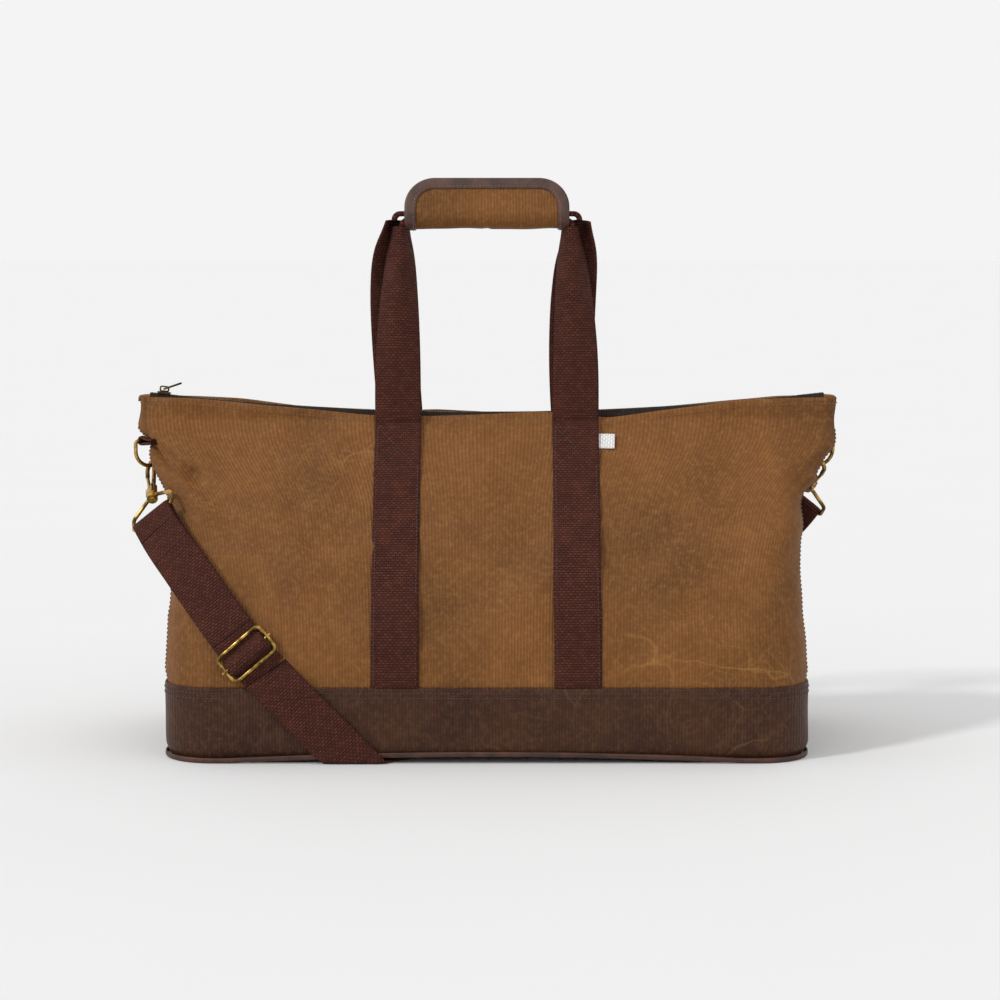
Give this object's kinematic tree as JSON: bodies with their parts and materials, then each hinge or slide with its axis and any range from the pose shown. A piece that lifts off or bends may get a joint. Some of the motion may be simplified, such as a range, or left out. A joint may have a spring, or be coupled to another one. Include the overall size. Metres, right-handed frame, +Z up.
{
  "type": "weekender bag",
  "caption": "Soft zipped travel bag in waxed canvas, with wrapped webbing handles, a reinforced base band and a clip-on adjustable shoulder strap.",
  "frame": {"origin": "middle of the base, on the surface that the bag stands on", "axes": "+X along the bag's length, +Y to the back, +Z up"},
  "size_m": [0.5842, 0.2482, 0.466],
  "materials": {
    "waxed_canvas": "waxed, matte",
    "base_canvas": "waxed, matte",
    "binding_leather": "semi gloss",
    "stiffener": "matte",
    "cotton_lining": "plain weave",
    "webbing": "woven cotton",
    "zip_tape": "woven",
    "antique_brass": "antiqued",
    "hook_and_loop": "napped",
    "label_cloth": "satin woven"
  },
  "bodies": {
    "bag": {"back_panel": "waxed_canvas", "base_band": "base_canvas", "base_board": "stiffener", "base_panel": "base_canvas", "base_piping": "binding_leather", "end_panel_left": "waxed_canvas", "end_panel_right": "waxed_canvas", "front_panel": "waxed_canvas", "handle_leg_back_left": "webbing", "handle_leg_back_right": "webbing", "handle_leg_front_left": "webbing", "handle_leg_front_right": "webbing", "handle_sewn_back_left": "webbing", "handle_sewn_back_right": "webbing", "handle_sewn_front_left": "webbing", "handle_sewn_front_right": "webbing", "hem_facing_back": "waxed_canvas", "hem_facing_front": "waxed_canvas", "lining_back": "cotton_lining", "lining_end_left": "cotton_lining", "lining_end_right": "cotton_lining", "lining_front": "cotton_lining", "ring_tab_left": "webbing", "ring_tab_right": "webbing", "side_label": "label_cloth", "strap_inner_layer": "webbing", "strap_main": "webbing", "strap_outer_layer": "webbing", "zip_end_left": "antique_brass", "zip_end_right": "antique_brass", "zip_tape_back": "zip_tape", "zip_tape_front": "zip_tape"},
    "grip": {"grip_wrap": "waxed_canvas", "grip_binding": "binding_leather", "handle_run_front": "webbing", "handle_run_back": "webbing", "grip_hook_tape": "hook_and_loop", "grip_loop_tape": "hook_and_loop"},
    "slider": {"zip_slider": "antique_brass"},
    "pull": {"zip_pull": "antique_brass"},
    "zip_front": {"zip_teeth_front": "antique_brass"},
    "zip_back": {"zip_teeth_back": "antique_brass"},
    "adjuster": {"adjuster_frame": "antique_brass", "adjuster_bar": "antique_brass", "strap_over_adjuster": "webbing"},
    "ring_left": {"d_ring_left": "antique_brass"},
    "hook_left": {"snap_hook_left": "antique_brass", "gate_pin_left": "antique_brass"},
    "gate_left": {"hook_gate_left": "antique_brass"},
    "loop_left": {"swivel_loop_left": "antique_brass", "strap_turn_left": "webbing"},
    "ring_right": {"d_ring_right": "antique_brass"},
    "hook_right": {"snap_hook_right": "antique_brass", "gate_pin_right": "antique_brass"},
    "gate_right": {"hook_gate_right": "antique_brass"},
    "loop_right": {"swivel_loop_right": "antique_brass", "strap_turn_right": "webbing"}
  },
  "joints": [
    {"name": "handle_swing", "type": "hinge", "parent": "bag", "child": "grip", "pos_m": [0, 0, 0.268], "axis": [1, 0, 0], "range_deg": [-80, 80], "deforming": ["handle_leg_front_left", "handle_leg_front_right", "handle_leg_back_left", "handle_leg_back_right"]},
    {"name": "zip_run", "type": "hinge", "parent": "bag", "child": "slider", "pos_m": [0, 0, 2.70312], "axis": [0, -1, 0], "range_deg": [0, 12.71]},
    {"name": "pull_swing", "type": "hinge", "parent": "slider", "child": "pull", "pos_m": [-0.26841, 0, 0.2922], "axis": [0, -1, 0], "range_deg": [-15, 130]},
    {"name": "zip_front_open", "type": "hinge", "parent": "bag", "child": "zip_front", "pos_m": [0, -0.01365, 0.268], "axis": [1, 0, 0], "range_deg": [0, 60], "deforming": ["zip_tape_front"]},
    {"name": "zip_back_open", "type": "hinge", "parent": "bag", "child": "zip_back", "pos_m": [0, 0.01365, 0.268], "axis": [-1, 0, 0], "range_deg": [0, 60], "deforming": ["zip_tape_back"]},
    {"name": "adjuster_slide", "type": "slide", "parent": "bag", "child": "adjuster", "axis": [-0.6542, 0.0832, 0.7517], "range_m": [-0.012, 0.025]},
    {"name": "ring_left_swing", "type": "hinge", "parent": "bag", "child": "ring_left", "pos_m": [-0.27891, -0.0095, 0.25], "axis": [0.8211, 0.5708, 0], "range_deg": [-4, 25], "deforming": ["strap_outer_layer", "strap_inner_layer"]},
    {"name": "hook_left_swing", "type": "hinge", "parent": "ring_left", "child": "hook_left", "pos_m": [-0.27891, -0.0095, 0.229], "axis": [0.8211, 0.5708, 0], "range_deg": [-4, 25]},
    {"name": "loop_left_swivel", "type": "hinge", "parent": "hook_left", "child": "loop_left", "pos_m": [-0.27334, -0.04677, 0.20629], "axis": [-0.1266, 0.8471, 0.5161], "range_deg": [-15, 10]},
    {"name": "gate_left_press", "type": "hinge", "parent": "hook_left", "child": "gate_left", "pos_m": [-0.27641, -0.03635, 0.20974], "axis": [0.8208, 0.3816, -0.425], "range_deg": [0, 17], "stiffness_Nm_per_rad": 0.02, "springref_deg": -17.19},
    {"name": "ring_right_swing", "type": "hinge", "parent": "bag", "child": "ring_right", "pos_m": [0.27891, 0.0095, 0.25], "axis": [-0.8211, -0.5708, 0], "range_deg": [-4, 25], "deforming": ["strap_main"]},
    {"name": "hook_right_swing", "type": "hinge", "parent": "ring_right", "child": "hook_right", "pos_m": [0.27891, 0.0095, 0.229], "axis": [-0.8211, -0.5708, 0], "range_deg": [-4, 25]},
    {"name": "loop_right_swivel", "type": "hinge", "parent": "hook_right", "child": "loop_right", "pos_m": [0.27334, 0.04677, 0.20629], "axis": [0.1266, -0.8471, 0.5161], "range_deg": [-15, 10]},
    {"name": "gate_right_press", "type": "hinge", "parent": "hook_right", "child": "gate_right", "pos_m": [0.27641, 0.03635, 0.20974], "axis": [-0.8208, -0.3816, -0.425], "range_deg": [0, 17], "stiffness_Nm_per_rad": 0.02, "springref_deg": -17.19}
  ]
}
